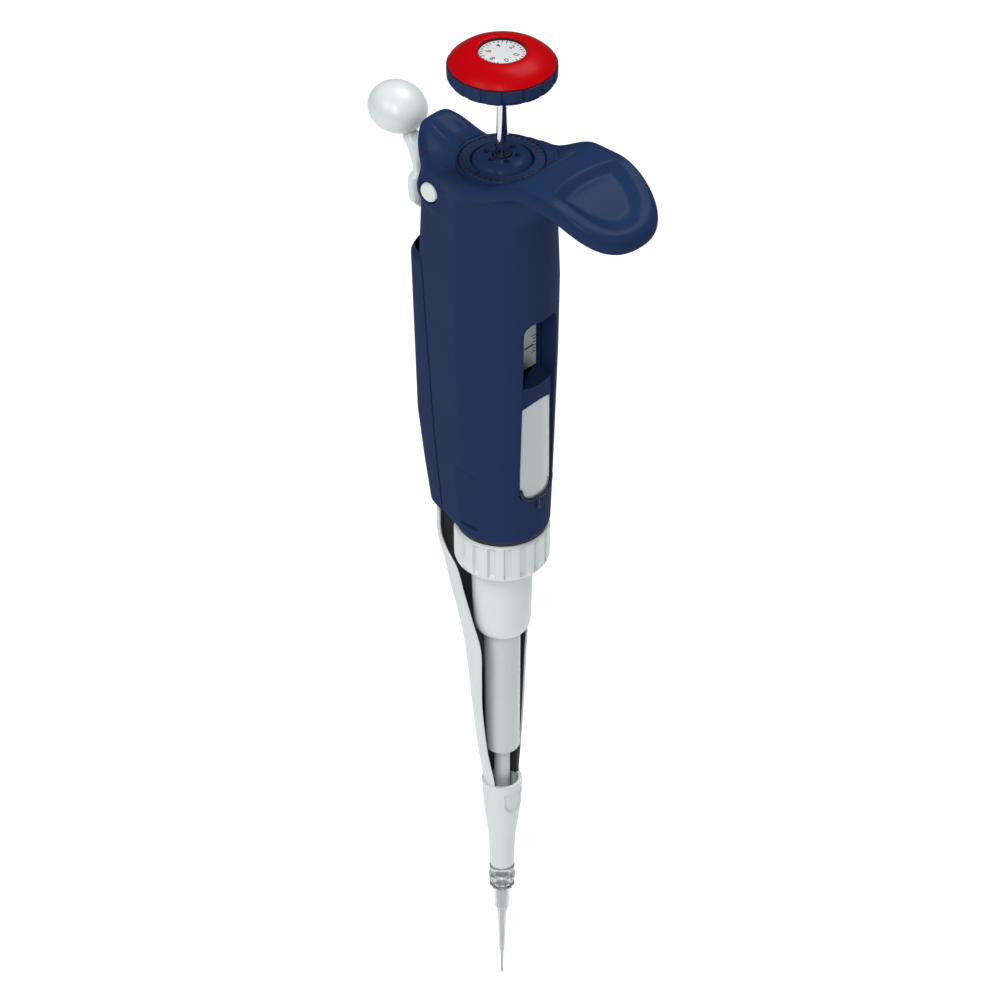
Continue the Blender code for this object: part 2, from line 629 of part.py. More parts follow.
def make_arm():
    """The open channel that carries the push down behind the shaft to the collar."""
    steps = 12
    rings = []
    for height, centre, radius, spread in ARM:
        turns = [math.pi + math.radians(spread) * (2 * i / steps - 1) for i in range(steps + 1)]
        outer = [(centre + radius * math.cos(a), radius * math.sin(a)) for a in turns]
        thin = radius - ARM_WALL
        inner = [(centre + thin * math.cos(a), thin * math.sin(a)) for a in turns[::-1]]
        rings.append([Vector((x, y, height)) * MM for x, y in outer + inner])
    bm = bmesh.new()
    skinned(bm, rings)
    return finish_object("ejector_arm", bm, white, parent=ejector_axis)


make_arm()
turned("ejector_collar", [(3.9, COLLAR_TOP / MM), (4.75, COLLAR_TOP / MM), (4.85, -166.0),
                          (4.6, -170.0), (4.3, -174.5), (3.85, -178.0), (3.35, -182.0),
                          (3.1, -186.0), (2.95, COLLAR_BOTTOM / MM), (2.45, COLLAR_BOTTOM / MM),
                          (2.5, -181.0), (3.5, -174.0)], white, 24, parent=ejector_axis)
finish_object("release_button", across_disc(BUTTON_RADIUS, BUTTON_FACE, -8.4, BUTTON_X, BUTTON_Z),
              white, parent=button_axis, origin=button_axis.location)
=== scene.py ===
"""Adjustable micropipette: the finished surfaces of every piece, in the shared frame.

+Z is up along the plunger, +X towards the finger hook and the volume window, -Y the side with the
release button. Shapes are written in millimetres and scaled to metres when each piece is made.
"""
import math

import bmesh
import bpy
from mathutils import Matrix, Vector


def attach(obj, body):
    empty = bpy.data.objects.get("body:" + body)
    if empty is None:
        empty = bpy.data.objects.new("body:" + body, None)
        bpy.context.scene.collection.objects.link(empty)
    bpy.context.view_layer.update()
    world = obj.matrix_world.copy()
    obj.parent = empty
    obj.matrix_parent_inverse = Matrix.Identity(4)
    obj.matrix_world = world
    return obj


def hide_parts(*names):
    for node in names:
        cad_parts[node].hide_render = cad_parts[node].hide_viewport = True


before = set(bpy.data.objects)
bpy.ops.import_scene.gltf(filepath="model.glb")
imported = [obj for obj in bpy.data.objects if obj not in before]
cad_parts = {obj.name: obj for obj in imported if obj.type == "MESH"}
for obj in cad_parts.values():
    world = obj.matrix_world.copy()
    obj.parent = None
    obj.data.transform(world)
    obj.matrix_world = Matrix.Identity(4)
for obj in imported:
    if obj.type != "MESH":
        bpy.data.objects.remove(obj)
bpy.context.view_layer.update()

MM = 0.001
SHARP = math.radians(38)           # a steeper fold than this is shaded as an edge
MOTTLE = 60.0                     # size of the slight colour mottling
WELD = 1e-4                       # points nearer than this, in mm, are one point


def ease(start, end, value):
    """0 before start, 1 after end, and a smooth step between."""
    t = min(1.0, max(0.0, (value - start) / (end - start)))
    return t * t * (3 - 2 * t)


def surface(name, colour, second, roughness, grain=900.0, relief=0.02, metallic=0.0, **sockets):
    """A finish with slight mottling of its colour, uneven polish and a fine moulded grain."""
    material = bpy.data.materials.new(name)
    material.use_nodes = True
    nodes, links = material.node_tree.nodes, material.node_tree.links
    shader = nodes["Principled BSDF"]
    shader.inputs["Metallic"].default_value = metallic
    for socket, value in sockets.items():
        shader.inputs[socket.replace("_", " ")].default_value = value
    place = nodes.new("ShaderNodeTexCoord")
    cloud = nodes.new("ShaderNodeTexNoise")
    cloud.inputs["Scale"].default_value = MOTTLE
    cloud.inputs["Detail"].default_value = 5.0
    grit = nodes.new("ShaderNodeTexNoise")
    grit.inputs["Scale"].default_value = grain
    grit.inputs["Detail"].default_value = 3.0
    for texture in (cloud, grit):
        links.new(place.outputs["Object"], texture.inputs["Vector"])
    mix = nodes.new("ShaderNodeMix")
    mix.data_type = "RGBA"
    mix.inputs["A"].default_value = (*colour, 1.0)
    mix.inputs["B"].default_value = (*second, 1.0)
    links.new(cloud.outputs["Fac"], mix.inputs["Factor"])
    links.new(mix.outputs["Result"], shader.inputs["Base Color"])
    polish = nodes.new("ShaderNodeMapRange")
    polish.inputs["To Min"].default_value = roughness * 0.85
    polish.inputs["To Max"].default_value = roughness * 1.15
    links.new(grit.outputs["Fac"], polish.inputs["Value"])
    links.new(polish.outputs["Result"], shader.inputs["Roughness"])
    bump = nodes.new("ShaderNodeBump")
    bump.inputs["Strength"].default_value = relief
    bump.inputs["Distance"].default_value = 0.2 * MM
    links.new(grit.outputs["Fac"], bump.inputs["Height"])
    links.new(bump.outputs["Normal"], shader.inputs["Normal"])
    return material


def made(name, bm, material, body, *nodes):
    """Turns a bmesh in millimetres into a piece that rides on a body in place of these CAD nodes."""
    bmesh.ops.scale(bm, vec=(MM, MM, MM), verts=bm.verts)
    bmesh.ops.recalc_face_normals(bm, faces=bm.faces)
    mesh = bpy.data.meshes.new(name)
    bm.to_mesh(mesh)
    bm.free()
    mesh.shade_smooth()
    mesh.set_sharp_from_angle(angle=SHARP)
    mesh.materials.append(material)
    piece = bpy.data.objects.new(name, mesh)
    bpy.context.scene.collection.objects.link(piece)
    if body:
        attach(piece, body)
    if nodes:
        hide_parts(*nodes)
    return piece


def turned(profile, segments=96):
    """A lathe-turned shape from (radius, height) corners, which join up at the end."""
    bm = bmesh.new()
    corners = [bm.verts.new((radius, 0, height)) for radius, height in profile]
    edges = [bm.edges.new((a, b)) for a, b in zip(corners, corners[1:] + corners[:1])
             if a.co.x > 1e-9 or b.co.x > 1e-9]
    bmesh.ops.spin(bm, geom=corners + edges, axis=(0, 0, 1), cent=(0, 0, 0), dvec=(0, 0, 0),
                   angle=math.tau, steps=segments, use_merge=True)
    bmesh.ops.remove_doubles(bm, verts=bm.verts, dist=WELD)
    return bm


def rounded(profile, radius=0.3, steps=3):
    """The same profile with each sharp corner away from the axis turned into a small arc."""
    soft = []
    count = len(profile)
    for i, corner in enumerate(profile):
        here = Vector(corner)
        before, after = Vector(profile[i - 1]) - here, Vector(profile[(i + 1) % count]) - here
        reach = min(radius, 0.4 * before.length, 0.4 * after.length)
        if corner[0] < 1e-6 or reach < 0.02 or before.angle(after) > 2.75:
            soft.append(corner)
            continue
        start, end = here + before.normalized() * reach, here + after.normalized() * reach
        for step in range(steps + 1):
            t = step / steps
            soft.append(tuple(start * (1 - t) ** 2 + here * 2 * t * (1 - t) + end * t ** 2))
    return soft


def wrapped(around, along, place):
    """A grid rolled up. place(turn, share), both from 0 to 1, says where each of its points goes."""
    bm = bmesh.new()
    bmesh.ops.create_grid(bm, x_segments=around, y_segments=along, size=0.5)
    for vert in bm.verts:
        vert.co = place(vert.co.x + 0.5, vert.co.y + 0.5)
    bmesh.ops.remove_doubles(bm, verts=bm.verts, dist=WELD)
    return bm


def block(low, high, radius=0.0, axes=(0, 1, 2), segments=3):
    """A box between two corners, with the edges along these axes rounded."""
    low, high = Vector(low), Vector(high)
    bm = bmesh.new()
    bmesh.ops.create_cube(bm, size=1.0)
    bmesh.ops.scale(bm, vec=high - low, verts=bm.verts)
    bmesh.ops.translate(bm, vec=(low + high) / 2, verts=bm.verts)
    if radius:
        along = [e for e in bm.edges
                 if any(abs((e.verts[0].co - e.verts[1].co).normalized()[a]) > 0.9 for a in axes)]
        bmesh.ops.bevel(bm, geom=along, offset=radius, segments=segments, profile=0.5,
                        affect="EDGES", material=-1)
    return bm


def disc_bm(radius, low, high, segments=48):
    """A plain upright cylinder."""
    bm = bmesh.new()
    bmesh.ops.create_cone(bm, cap_ends=True, segments=segments, radius1=radius,
                          radius2=radius, depth=high - low)
    bmesh.ops.translate(bm, verts=bm.verts, vec=(0, 0, (low + high) / 2))
    return bm


def moved(bm, matrix):
    bmesh.ops.transform(bm, matrix=matrix, verts=bm.verts)
    return bm


def joined(*shapes):
    """Several shapes in one bmesh."""
    whole = bmesh.new()
    for shape in shapes:
        passing = bpy.data.meshes.new("passing")
        shape.to_mesh(passing)
        shape.free()
        whole.from_mesh(passing)
        bpy.data.meshes.remove(passing)
    return whole


tools = []                        # every piece that is cut, with the shape that cuts it


def cut(target, bm):
    """Cuts this shape out of a piece."""
    tool = made("tool_" + target.name + str(len(target.modifiers)), bm, target.data.materials[0], None)
    modifier = target.modifiers.new("cut", "BOOLEAN")
    modifier.operation = "DIFFERENCE"
    modifier.solver = "EXACT"
    modifier.object = tool
    tools.append((target, tool))


def pipe(name, points, radius, material, body):
    """A thin line laid along these points: the dark gap where two mouldings meet."""
    curve = bpy.data.curves.new(name, "CURVE")
    curve.dimensions = "3D"
    curve.bevel_depth = radius * MM
    curve.bevel_resolution = 2
    curve.use_fill_caps = True
    line = curve.splines.new("POLY")
    line.points.add(len(points) - 1)
    for point, at in zip(line.points, points):
        point.co = (*(Vector(at) * MM), 1.0)
    passing = bpy.data.objects.new(name + "_curve", curve)
    bpy.context.scene.collection.objects.link(passing)
    mesh = bpy.data.meshes.new_from_object(passing)
    bpy.data.objects.remove(passing)
    mesh.materials.clear()
    mesh.materials.append(material)
    piece = bpy.data.objects.new(name, mesh)
    bpy.context.scene.collection.objects.link(piece)
    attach(piece, body)
    return piece


# Finishes used on more than one piece
navy = surface("navy_plastic", (0.012, 0.027, 0.078), (0.015, 0.031, 0.088), 0.36, 1500.0, 0.05,
               Specular_IOR_Level=0.0, Coat_Weight=0.07, Coat_Roughness=0.24)
dark_navy = surface("dark_navy_plastic", (0.008, 0.013, 0.034), (0.011, 0.018, 0.044), 0.38,
                    Specular_IOR_Level=0.1, Coat_Weight=0.15, Coat_Roughness=0.3)
shadow = surface("shadow_gap", (0.002, 0.003, 0.006), (0.003, 0.004, 0.008), 0.7)
white = surface("white_plastic", (0.60, 0.65, 0.65), (0.65, 0.69, 0.69), 0.34, 1500.0, 0.04)
steel = surface("polished_steel", (0.62, 0.63, 0.64), (0.68, 0.69, 0.70), 0.10, 2500.0, 0.02, 1.0)


# ---- handle shell: one thick injection moulding in navy plastic, satin with a fine grain. It is open
# from top to bottom, and the finger hook, the saddle round the dial and the column are one skin. The
# window, the button's hole and the label panel are cut out of it.
DIAL_FACE = 14.0
LEDGE = 11.6
HANDLE_BOTTOM = -86.7
HANDLE_BORE = 9.2
HOOK_ROOT = -4.0
HOOK_CENTRE, HOOK_LENGTH, HOOK_HALF_WIDTH, HOOK_POWER = 26.0, 16.9, 13.2, 2.4
HOOK_EDGE = 4.4
LIP = 0.7
FLARE = 9.0
COLUMN = (                        # height, front radius, rear centre, rear radius
    (-86.7, 11.4, 13.0, 7.4),
    (-76.0, 11.8, 14.9, 7.5),
    (-63.0, 12.25, 16.9, 7.55),
    (-37.0, 13.05, 17.9, 7.6),
    (-17.7, 13.35, 18.7, 7.6),
    (-17.4, 13.35, 13.8, 9.1),
    (-4.0, 12.9, 13.8, 8.6),
    (20.0, 12.9, 13.8, 8.6),
)
BUTTON_X, BUTTON_Z, BUTTON_RADIUS = -13.5, 3.5, 2.5
BOSS_FACE = -10.3


def column_at(height):
    if height <= COLUMN[0][0]:
        return COLUMN[0][1:]
    for low, high in zip(COLUMN, COLUMN[1:]):
        if height <= high[0]:
            t = (height - low[0]) / (high[0] - low[0])
            return [a + (b - a) * t for a, b in zip(low[1:], high[1:])]
    return COLUMN[-1][1:]


def column_radius(angle, height, inset=0.0):
    """Polar radius of the section: a front circle and a smaller rear one inside one skin."""
    front, centre, rear = column_at(height)
    front, rear = front - inset, rear - inset
    lean = math.asin((front - rear) / centre)
    turn = abs(math.atan2(math.sin(angle), math.cos(angle)))
    if turn <= math.pi / 2 + lean:
        return front
    behind = math.pi - turn
    touch = math.atan2(rear * math.cos(lean), centre + rear * math.sin(lean))
    if behind > touch:
        return front / math.cos(turn - math.pi / 2 - lean)
    return centre * math.cos(behind) + math.sqrt(rear ** 2 - (centre * math.sin(behind)) ** 2)


def rim_radius(angle):
    """Polar radius of the top outline: the column, with the hook's blunt paddle in front."""
    column = column_radius(angle, DIAL_FACE) + LIP
    if math.cos(angle) <= 0:
        return column
    side = abs(math.sin(angle))
    straight = HOOK_HALF_WIDTH / max(side, 1e-6)
    if straight * math.cos(angle) <= HOOK_CENTRE:
        return (column ** 24 + straight ** 24) ** (1 / 24)
    near, far = 0.0, HOOK_CENTRE + HOOK_LENGTH
    for _ in range(30):
        middle = (near + far) / 2
        x = max(0.0, middle * math.cos(angle) - HOOK_CENTRE) / HOOK_LENGTH
        y = middle * side / HOOK_HALF_WIDTH
        near, far = (middle, far) if x ** HOOK_POWER + y ** HOOK_POWER < 1 else (near, middle)
    return near


RECESS_BACK, RECESS_LENGTH, RECESS_HALF_WIDTH, RECESS_DEPTH = 23.0, 17.2, 10.2, 1.8
STEP_RADIUS = 12.7


def top_height(x, y):
    """The saddle: a hump where the hook starts, a droop to its tip, and a lobe at the rear."""
    y = abs(y)
    hump = 6.0 * ease(8 - 5 * ease(6, 13, y), 18, x) - 8.0 * ease(24, 47, x)
    lobe = 3.0 * ease(7, 19, -x) - 0.5 * ease(18, 24, -x)
    sides = -(1.0 + 4.6 * ease(2, 16, -x)) * ease(3, 10, y) * ease(-6, 2, -x)
    return DIAL_FACE + hump + lobe + sides


def dents(x, y):
    """What is sunk into the saddle: the finger dish in the hook and the step round the dial."""
    inside = (max(0.0, x - RECESS_BACK) / RECESS_LENGTH) ** 2.3 + (abs(y) / RECESS_HALF_WIDTH) ** 2.3
    margin = min((1 - inside ** (1 / 2.3)) * RECESS_HALF_WIDTH, x - RECESS_BACK - 0.02 * y * y)
    dish = RECESS_DEPTH * ease(-0.4, 2.8, margin)
    off = abs(math.hypot(x, y) - STEP_RADIUS)
    step = 0.35 * (1 - ease(0.0, 0.4, off)) * ease(-4, 2, x)
    bowl = 1.7 * (1 - ease(0, 7.5, abs(y))) * ease(9, 15, -x) * (1 - ease(16.0, 21.5, -x))
    return dish + step + bowl


def skin_point(angle, radius, height):
    """A point of the shell, drawn out to the raised boss round the release button."""
    x, y = radius * math.cos(angle), radius * math.sin(angle)
    if y < 0 and height < DIAL_FACE - 3:
        near = 1 - ease(3.1, 6.6, math.hypot(x - BUTTON_X, height - BUTTON_Z))
        y += (BOSS_FACE - y) * near
    return Vector((x, y, height))


def on_top(angle, radius):
    return top_height(radius * math.cos(angle), radius * math.sin(angle))


def undercut(angle):
    """How far in from the rim the underside's outer edge lies."""
    return min(1.0, 0.5 * (rim_radius(angle) - column_radius(angle, HOOK_ROOT)))


def flare(angle, share):
    """Under the hook: share 0 is on the column and 1 at the underside's outer edge."""
    inner = column_radius(angle, HOOK_ROOT)
    rim = rim_radius(angle)
    edge = rim - undercut(angle)
    at = inner + (edge - inner) * share
    reach = rim - inner
    hang = FLARE * math.tanh(reach / 7.5)
    floor = on_top(angle, rim) - HOOK_EDGE
    base = floor + (on_top(angle, at) - HOOK_EDGE - floor) * ease(1, 6, reach)
    swept = min(1.0, (at - inner) / min(FLARE, edge - inner))
    return at, base - hang * (1 - swept) ** 2


def rise(angle, share):
    """The column's side between the level of the hook's root and the flare."""
    at, height = flare(angle, 0.0)
    return at, HOOK_ROOT + (height - HOOK_ROOT) * share


def roll(angle, share):
    """The rounded edge, from the underside over to the top."""
    lean = math.pi * (share - 0.5)
    depth = undercut(angle) if lean < 0 else 1.9
    rim = rim_radius(angle)
    at = rim - depth * (1 - math.cos(lean))
    return at, on_top(angle, at) - 0.5 * HOOK_EDGE * (1 - math.sin(lean))


def saddle(angle, share):
    """The top, from the rolled edge in to the dial."""
    outer = rim_radius(angle) - 1.9
    at = 10.6 + (outer - 10.6) * (1 - share) ** 1.5
    height = on_top(angle, at) - dents(at * math.cos(angle), at * math.sin(angle))
    return at, height * (1 - ease(0.9, 1.0, share)) + DIAL_FACE * ease(0.9, 1.0, share)


def handle_path():
    """Every ring of the shell in order, as a function of the angle and a value for that function."""
    path = [(lambda a, v: (HANDLE_BORE, v), h) for h in (LEDGE, HANDLE_BOTTOM)]
    for step in range(5):
        inset = 0.8 * (1 - math.sin(math.pi / 8 * step))
        height = HANDLE_BOTTOM + 0.8 * (1 - math.cos(math.pi / 8 * step))
        path.append((lambda a, v: (column_radius(a, v[0], v[1]), v[0]), (height, inset)))
    heights = [HANDLE_BOTTOM + 3 * i for i in range(1, 23)] + [-17.7, -17.4, -14.0, -11.0, -8.0]
    path += [(lambda a, v: (column_radius(a, v), v), h) for h in heights]
    path += [(rise, i / 16) for i in range(16)]
    path += [(flare, i / 20) for i in range(20)]
    path += [(roll, i / 10) for i in range(10)]
    path += [(saddle, i / 96) for i in range(97)]
    path.append((lambda a, v: (10.25, v), DIAL_FACE - 0.15))
    path.append((lambda a, v: (10.1, v), DIAL_FACE - 0.5))
    path.append((lambda a, v: (10.1, v), LEDGE))
    return path


AROUND = 288
PATH = handle_path()


def handle_place(turn, share):
    angle = math.tau * turn
    angle -= 0.45 * math.sin(angle)          # the points crowd towards the hook's tip
    row = round(share * len(PATH)) % len(PATH)
    ring, value = PATH[row]
    return skin_point(angle, *ring(angle, value))


def seam_x(height):
    """Where the rear cover meets the shell."""
    t = (-17.5 - height) / (-17.5 - HANDLE_BOTTOM)
    return -17.6 + 6.4 * t


def wedge(low_z, high_z, depth, half_width):
    """A block whose front face follows the leaning seam."""
    bm = block((-depth, -half_width, low_z), (0, half_width, high_z))
    for vert in bm.verts:
        if vert.co.x > -depth / 2:
            vert.co.x = seam_x(vert.co.z)
    return bm


WINDOW_TOP, BAR_TOP, BAR_BOTTOM, WINDOW_BOTTOM = -24.5, -42.7, -48.0, -75.0
WINDOW_HALF_WIDTH = 5.5


def lying_disc(radius, low, high, x, z, segments=48):
    """A disc or rod lying along Y."""
    bm = disc_bm(radius, low, high, segments)
    return moved(bm, Matrix.Translation((x, 0, z)) @ Matrix.Rotation(-math.pi / 2, 4, "X"))


handle = made("handle_moulding", wrapped(AROUND, len(PATH), handle_place), navy, "handle",
              "handle_shell")
cut(handle, wedge(-95, -17.3, 40, 20))
cut(handle, block((-30, -2.8, -20), (-21.7, 2.8, 30), 0.5, (2,)))
cut(handle, block((5, -WINDOW_HALF_WIDTH, WINDOW_BOTTOM), (20, WINDOW_HALF_WIDTH, WINDOW_TOP),
                  2.6, (0,), 8))
cut(handle, lying_disc(BUTTON_RADIUS + 0.35, -20, -6.8, BUTTON_X, BUTTON_Z))
cut(handle, block((-9, -20, -84), (3, -10.95, -68), 0.8, (1,), 4))

# ---- rear cover: a thin half shell in the handle's navy plastic, snapped on behind the ejector's rod.
# A fine gap runs down each side of it, and its top edge is rounded over.
COVER_TOP, COVER_BOTTOM, COVER_WALL = -17.8, -86.6, 1.1


def cover_place(turn, share):
    height = COVER_BOTTOM + (COVER_TOP - COVER_BOTTOM) * share
    inner = turn >= 0.5
    side = -1 + 4 * (1 - turn if inner else turn)
    inset = COVER_WALL if inner else 1.0 * ease(0.965, 1.0, share) ** 2
    near, far = math.pi / 2, math.pi
    for _ in range(24):                      # the angle at which this skin reaches the seam
        edge = (near + far) / 2
        x = column_radius(edge, height, inset) * math.cos(edge)
        near, far = (edge, far) if x > seam_x(height) - 0.3 else (near, edge)
    angle = math.pi + max(-1.0, side) * (math.pi - edge)
    at = column_radius(angle, height, inset)
    return Vector((at * math.cos(angle), at * math.sin(angle), height))


cover_bm = wrapped(96, 120, cover_place)
bmesh.ops.holes_fill(cover_bm, edges=[e for e in cover_bm.edges if e.is_boundary])
made("rear_cover_moulding", cover_bm, navy, "handle", "rear_cover")

# ---- mould joins on the saddle: the fine gap round the top insert, and the engraved index mark that
# the dial is read against.
SEAM_PATH = ((-17.4, -9.2), (-17.1, -8.5), (-16.2, -7.5), (-14.0, -7.4), (-11.8, -7.7), (-9.6, -8.3),
             (-6.5, -9.4), (-3.8, -10.3), (-0.8, -10.9))


def on_saddle(x, y, lift=0.0):
    return (x, y, top_height(x, y) - dents(x, y) + lift)


def smooth_path(points, between=6):
    """More points along a curve that passes through these."""
    path = []
    ends = [points[0], *points, points[-1]]
    for a, b, c, d in zip(ends, ends[1:], ends[2:], ends[3:]):
        a, b, c, d = (Vector(p) for p in (a, b, c, d))
        for step in range(between):
            t = step / between
            path.append(tuple(0.5 * (2 * b + (c - a) * t + (2 * a - 5 * b + 4 * c - d) * t ** 2
                                     + (3 * b - a - 3 * c + d) * t ** 3)))
    return path + [tuple(points[-1])]


pipe("insert_seam", [on_saddle(x, y) for x, y in smooth_path(SEAM_PATH)], 0.13, shadow, "handle")
pipe("dial_index", [on_saddle(-11.0 - 2.4 * i / 4, -0.6, 0.02) for i in range(5)], 0.16, shadow,
     "handle")
pipe("dial_index_fork", [on_saddle(x, y, 0.02) for x, y in (
    (-10.6, -1.7), (-11.8, -1.5), (-12.1, -0.6), (-11.8, 0.3), (-10.6, 0.5))], 0.13, shadow, "handle")

# ---- window: a deep navy pocket with a printed white scale plate clipped in at its back, a navy index
# bar under it, and a curved clear lens over the counter below. The lens and the bar snap into the
# handle's opening, and a raised lip runs round the lens's foot.
pocket = made("scale_pocket_box", block((3.9, -6.0, BAR_TOP - 1.2), (7.0, 6.0, WINDOW_TOP + 0.7), 0.3,
                                        (2,)), navy, "handle", "scale_pocket")
cut(pocket, block((4.8, -5.4, BAR_TOP - 3), (14, 5.4, WINDOW_TOP), 0.6, (0,)))
made("scale_card", block((5.1, -5.38, BAR_TOP - 1.2), (5.7, 5.38, WINDOW_TOP - 0.1), 0.5, (0,)), white,
     "handle", "scale_plate")
print_black = surface("print_black", (0.010, 0.010, 0.012), (0.016, 0.016, 0.018), 0.6)


def lettering(name, words, size, place, facing, material, body, depth=0.04):
    """Printed figures, a hair proud of what they are printed on."""
    text = bpy.data.curves.new(name, "FONT")
    text.body = words
    text.size = size * MM
    text.extrude = depth * MM
    text.align_x = "CENTER"
    text.align_y = "CENTER"
    passing = bpy.data.objects.new(name + "_text", text)
    bpy.context.scene.collection.objects.link(passing)
    mesh = bpy.data.meshes.new_from_object(passing)
    bpy.data.objects.remove(passing)
    mesh.transform(Matrix.Translation(Vector(place) * MM) @ facing)
    mesh.materials.clear()
    mesh.materials.append(material)
    piece = bpy.data.objects.new(name, mesh)
    bpy.context.scene.collection.objects.link(piece)
    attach(piece, body)
    return piece


SIDEWAYS = Matrix(((0, 0, 1, 0), (0, 1, 0, 0), (-1, 0, 0, 0), (0, 0, 0, 1)))
lettering("scale_figure", "1", 4.4, (5.72, 2.7, -37.0), SIDEWAYS, print_black, "handle")
made("scale_ticks", joined(*[
    block((5.7, 4.3 if i % 5 else 3.9, -34.6 - 0.9 * i), (5.74, 5.2, -34.4 - 0.9 * i))
    for i in range(6)]), print_black, "handle")


def arc_slab(inner, outer, half_width, low, high, foot):
    """A curved slab in the window. foot(y) is how far its lower edge is lifted at that y."""
    def place(turn, share):
        reach = 4 * turn
        side = reach - 1 if reach < 2 else 3 - reach
        radius = outer if reach < 2 else inner
        y = half_width * max(-1.0, min(1.0, side))
        bottom = low + foot(y)
        return Vector((math.sqrt(radius ** 2 - y ** 2), y, bottom + (high - bottom) * share))
    bm = wrapped(64, 24, place)
    bmesh.ops.holes_fill(bm, edges=[e for e in bm.edges if e.is_boundary])
    return bm


made("index_ledge", arc_slab(7.2, 12.1, 5.2, BAR_BOTTOM - 0.6, BAR_TOP,
                             lambda y: 1.5 * (1 - (y / 5.2) ** 2)), navy, "handle", "index_bar")
made("index_pointer", moved(disc_bm(0.9, 0, 0.3, 3), Matrix.Translation((8.6, 1.6, BAR_TOP - 0.42))
                            @ Matrix.Rotation(-0.12, 4, "Y") @ Matrix.Scale(2.2, 4, (1, 0, 0))), shadow,
     "handle")
lens_clear = surface("lens_plastic", (0.40, 0.45, 0.45), (0.44, 0.49, 0.49), 0.14, 1200.0, 0.02,
                     Coat_Weight=0.6, Coat_Roughness=0.04)
made("counter_lens", arc_slab(9.9, 11.7, 5.15, WINDOW_BOTTOM + 0.4, BAR_BOTTOM + 1.0,
                              lambda y: 2.6 - math.sqrt(max(0.0, 2.6 ** 2 - max(0.0, abs(y) - 2.55) ** 2))),
     lens_clear, "handle", "window_lens")
pipe("window_lip", [(math.sqrt(12.05 ** 2 - y * y), y, z) for y, z in smooth_path(
    ((-5.2, -71.5), (-4.6, -73.6), (-2.8, -74.7), (0, -74.8), (2.8, -74.7), (4.6, -73.6), (5.2, -71.5)))],
     0.45, dark_navy, "handle")
# Painted shade: a short dark navy tube stands for the shaded small recess under the window.
pipe("window_recess_shade", [(math.sqrt(12.0 ** 2 - 0.25), -0.5, z) for z in (-75.4, -76.4, -77.4, -78.2)], 0.42,
     dark_navy, "handle")
# Painted light: a thin white strip is a painted highlight along the lens's edge, and a dark navy strip just
# outside it is painted shade.
for strip, (side, finish) in enumerate(((4.0, white), (4.55, dark_navy))):
    pipe(f"lens_edge_{strip}", [(math.sqrt(11.72 ** 2 - side ** 2), side, z) for z in
                                (BAR_BOTTOM - 0.5, -60.0, WINDOW_BOTTOM + 3.4 - 0.8 * strip)],
         0.16, finish, "handle")

# ---- dial: a navy ring with printed graduations, which turns round a fixed domed plate. The plate has
# six holes for the calibration key, and the rod's bush is pressed into its middle.
made("calibration_ring_face", turned(rounded(
    [(7.35, 13.95), (9.6, 13.95), (9.95, 13.6), (9.95, 11.9), (7.35, 11.9)], 0.2)), navy,
    "calibration_ring", "calibration_dial")
TICKS, FIGURES = 40, 8
KEY_HOLES, KEY_CIRCLE, KEY_RADIUS = 6, 3.6, 0.78


def tick_marks(count, outer, short, long, every, width, height):
    """Raised radial marks round a dial; every so many is a long one."""
    marks = []
    for number in range(count):
        inner = outer - (short if number % every else long)
        mark = block((inner, -width / 2, height), (outer, width / 2, height + 0.05))
        marks.append(moved(mark, Matrix.Rotation(math.tau * number / count, 4, "Z")))
    return joined(*marks)


made("ring_ticks", tick_marks(TICKS, 9.75, 1.3, 1.8, 5, 0.62, 13.94), shadow, "calibration_ring")
for number in range(FIGURES):
    angle = math.tau * (number + 0.5) / FIGURES
    lettering(f"ring_figure_{number}", str(number + 1), 1.1,
              (7.85 * math.cos(angle), 7.85 * math.sin(angle), 13.96),
              Matrix.Rotation(angle - math.pi / 2, 4, "Z"), print_black, "calibration_ring", 0.02)
plate = made("dial_dome", turned(rounded(
    [(2.25, 15.4), (4.4, 15.35), (5.8, 14.9), (6.7, 14.1), (7.05, 13.2), (7.05, 11.6), (2.25, 11.6)],
    0.5, 4)), navy, "handle", "dial_plate")
for number in range(KEY_HOLES):
    angle = math.tau * (number + 0.5) / KEY_HOLES
    where = Matrix.Translation((KEY_CIRCLE * math.cos(angle), KEY_CIRCLE * math.sin(angle), 0))
    cut(plate, moved(disc_bm(KEY_RADIUS, 13.9, 17, 20), where))
    made(f"key_hole_shade_{number}", moved(disc_bm(KEY_RADIUS - 0.02, 13.85, 13.95, 16), where), shadow,
         "handle")
made("hub_bush", turned(rounded([(1.6, 15.75), (2.0, 15.75), (2.15, 15.3), (2.15, 11.6), (1.6, 11.6)],
                                0.15)), dark_navy, "handle", "rod_bush")

# ---- knob: a red dome snapped over a fluted navy cup, both glossy mouldings, with a white disc in the
# dome's round hole. The disc's printing is plain ticks and figures.
KNOB_BOTTOM, KNOB_SEAM = 35.6, 39.8
KNOB_FLUTES = 16
DISC_FIGURES = 6
red = surface("red_plastic", (0.40, 0.001, 0.003), (0.44, 0.001, 0.004), 0.34, 1800.0, 0.03,
              Specular_IOR_Level=0.0, Coat_Weight=0.12, Coat_Roughness=0.28)


def fluted(profile, flutes, depth, width, low, high, around):
    """A turned shape with grooves down its outside between two heights. Width is a share of the pitch."""
    def place(turn, share):
        radius, height = profile[round(share * len(profile)) % len(profile)]
        across = abs((turn * flutes + 0.5) % 1.0 - 0.5)
        groove = 1 - ease(width * 0.32, width * 0.58, across)
        inside = low < height < high and radius > profile_reach - depth * 1.6
        radius -= depth * groove if inside else 0.0
        return Vector((radius * math.cos(math.tau * turn), radius * math.sin(math.tau * turn), height))
    profile_reach = max(radius for radius, _ in profile)
    return wrapped(around, len(profile), place)


